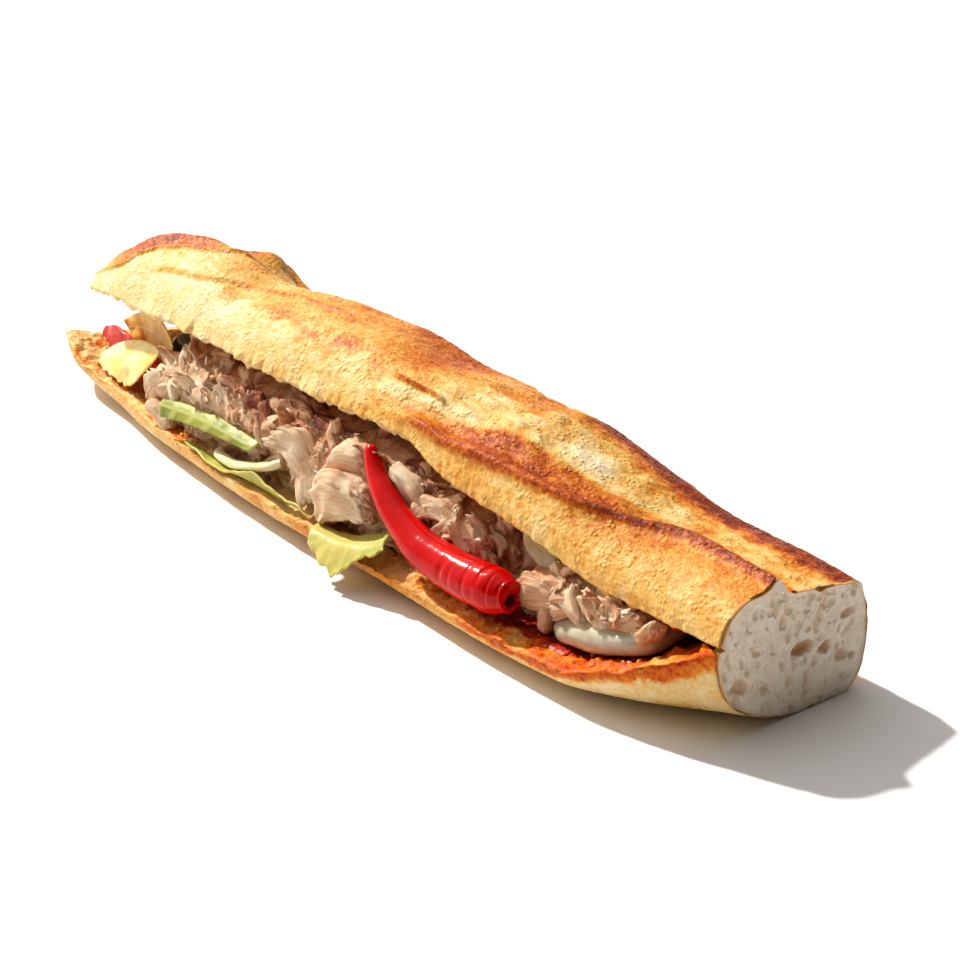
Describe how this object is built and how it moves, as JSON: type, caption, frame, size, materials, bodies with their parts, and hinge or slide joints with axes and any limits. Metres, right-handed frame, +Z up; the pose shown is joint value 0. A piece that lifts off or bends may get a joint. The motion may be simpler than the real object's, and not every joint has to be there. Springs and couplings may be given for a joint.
{
  "type": "tuna sandwich",
  "caption": "Half a scored baguette split along its front and held at the back and the cut end, filled with flaked tuna, chilli, egg, onion, lettuce, tomato and olive.",
  "frame": {"origin": "centre of the bounding box on its bottom face, which is the surface the loaf rests on", "axes": "+X along the loaf from its heel to its cut end, -Y out of the open slit, +Z up"},
  "size_m": [0.343, 0.0825, 0.0639],
  "materials": {
    "crust": "baked crust, matte with a slight sheen",
    "tuna_flesh": "moist flaked fish",
    "chilli_skin": "wet and glossy",
    "egg_white": "smooth and moist",
    "onion": "smooth and moist",
    "lettuce": "crisp leaf with a soft sheen",
    "lettuce_heart": "crisp pale leaf with a soft sheen",
    "tomato_flesh": "wet",
    "olive_skin": "smooth and moist"
  },
  "bodies": {
    "root": {"bread": "crust", "tuna": "tuna_flesh", "chilli": "chilli_skin", "egg_slice": "egg_white", "onion_ring": "onion", "onion_piece": "onion", "lettuce_rib": "lettuce", "lettuce_fold": "lettuce", "lettuce_leaf": "lettuce", "heart_leaf_front": "lettuce_heart", "heart_leaf_back": "lettuce_heart", "tomato_slice": "tomato_flesh", "olive": "olive_skin"}
  },
  "joints": []
}
